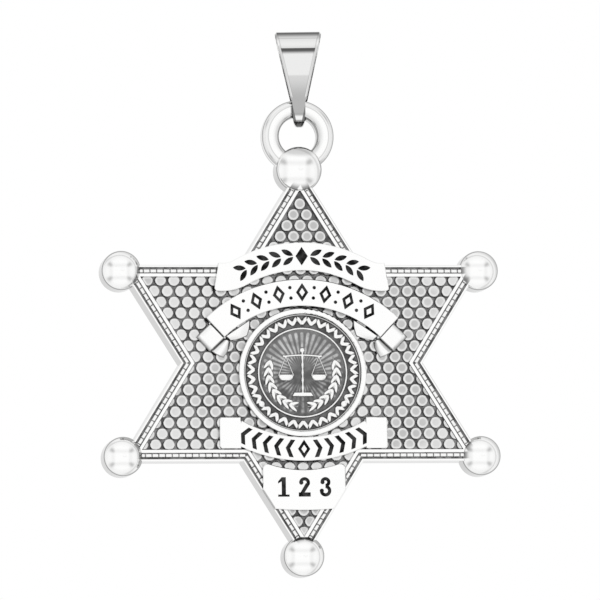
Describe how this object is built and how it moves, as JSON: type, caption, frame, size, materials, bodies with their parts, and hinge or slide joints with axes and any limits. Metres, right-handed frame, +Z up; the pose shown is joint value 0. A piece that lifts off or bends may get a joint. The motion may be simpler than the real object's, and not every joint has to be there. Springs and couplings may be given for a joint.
{
  "type": "star badge pendant",
  "caption": "Silver six-pointed star badge pendant with ball tips, pebbled field, ribbon banners and a round seal, hanging by a ring from a tapered bail.",
  "frame": {"origin": "chain seat: the inside top of the bail, where a chain carries the pendant", "axes": "X across the star to the wearer's left when worn, Y from its front to its back, Z up"},
  "size_m": [0.032, 0.0038, 0.0439],
  "materials": {
    "cast_silver": "polished cast silver, darkened in the recesses",
    "ribbon_silver": "polished silver with blackened engraving",
    "bezel_silver": "polished silver",
    "seal_silver": "struck silver with a darkened ground",
    "bail_silver": "polished silver strip"
  },
  "bodies": {
    "bail": {"bail": "bail_silver"},
    "star": {"star_body": "cast_silver", "top_banner": "ribbon_silver", "arch_banner": "ribbon_silver", "left_tail": "ribbon_silver", "right_tail": "ribbon_silver", "seal_bezel": "bezel_silver", "seal_disc": "seal_silver", "lower_banner": "ribbon_silver", "number_panel": "ribbon_silver"}
  },
  "joints": [
    {"name": "pendant_swing", "type": "hinge", "parent": "bail", "child": "star", "pos_m": [0, 0, -0.00598], "axis": [1, 0, 0], "range_deg": [-90, 90]}
  ]
}
